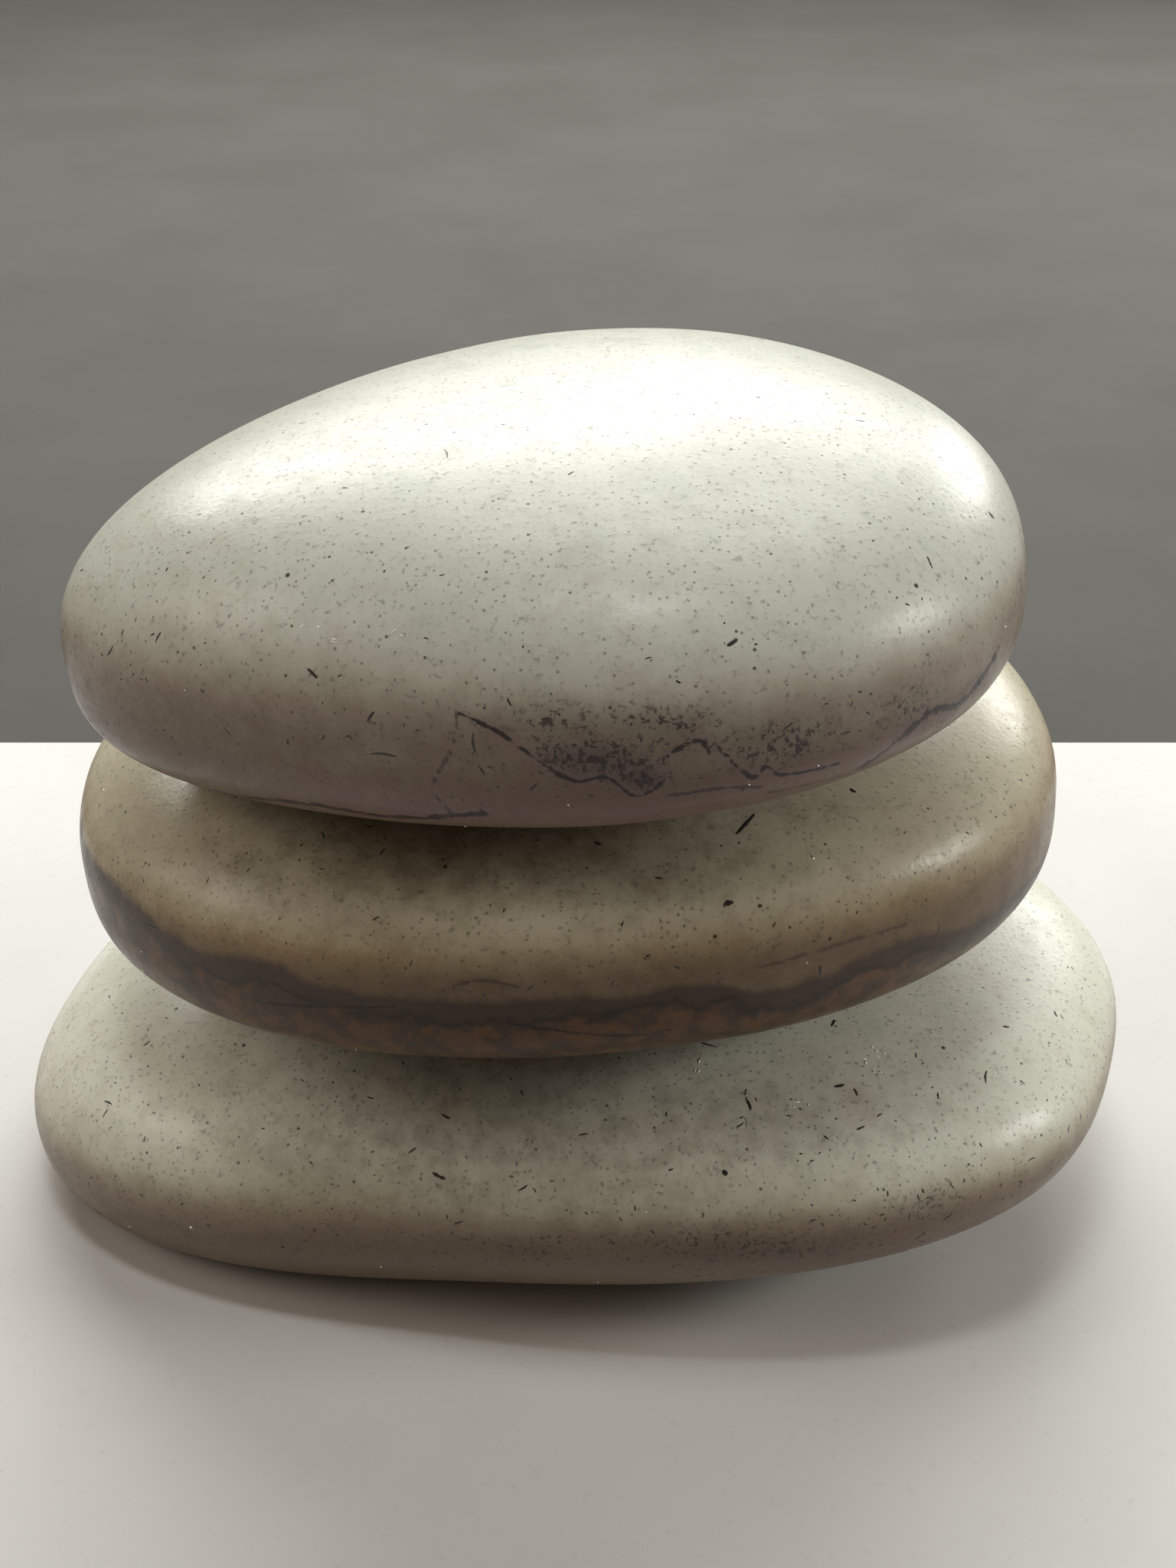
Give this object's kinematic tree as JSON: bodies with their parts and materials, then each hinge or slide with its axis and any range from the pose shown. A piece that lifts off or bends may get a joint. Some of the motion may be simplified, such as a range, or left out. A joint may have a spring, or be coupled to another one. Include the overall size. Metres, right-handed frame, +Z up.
{
  "type": "massage stone stack",
  "caption": "Stack of smooth oval massage stones with a satin skin, each one loose and resting flat on the one below.",
  "frame": {"origin": "on the flat underside of the bottom stone, near the middle of the stack", "axes": "+X along the stack's longest extent, towards the fuller end of the top stone; +Y towards the back; +Z up"},
  "size_m": [0.1226, 0.1088, 0.0949],
  "materials": {
    "bottom_stone_stone": "satin, honed smooth",
    "middle_stone_stone": "satin, honed smooth",
    "top_stone_stone": "satin, honed smooth"
  },
  "bodies": {
    "bottom": {"bottom_stone": "bottom_stone_stone"},
    "middle": {"middle_stone": "middle_stone_stone"},
    "top": {"top_stone": "top_stone_stone"}
  },
  "joints": [
    {"name": "middle_lift", "type": "slide", "parent": "bottom", "child": "middle", "axis": [0, 0, 1], "range_m": [0, 0.12]},
    {"name": "top_lift", "type": "slide", "parent": "middle", "child": "top", "axis": [0, 0, 1], "range_m": [0, 0.1]}
  ]
}
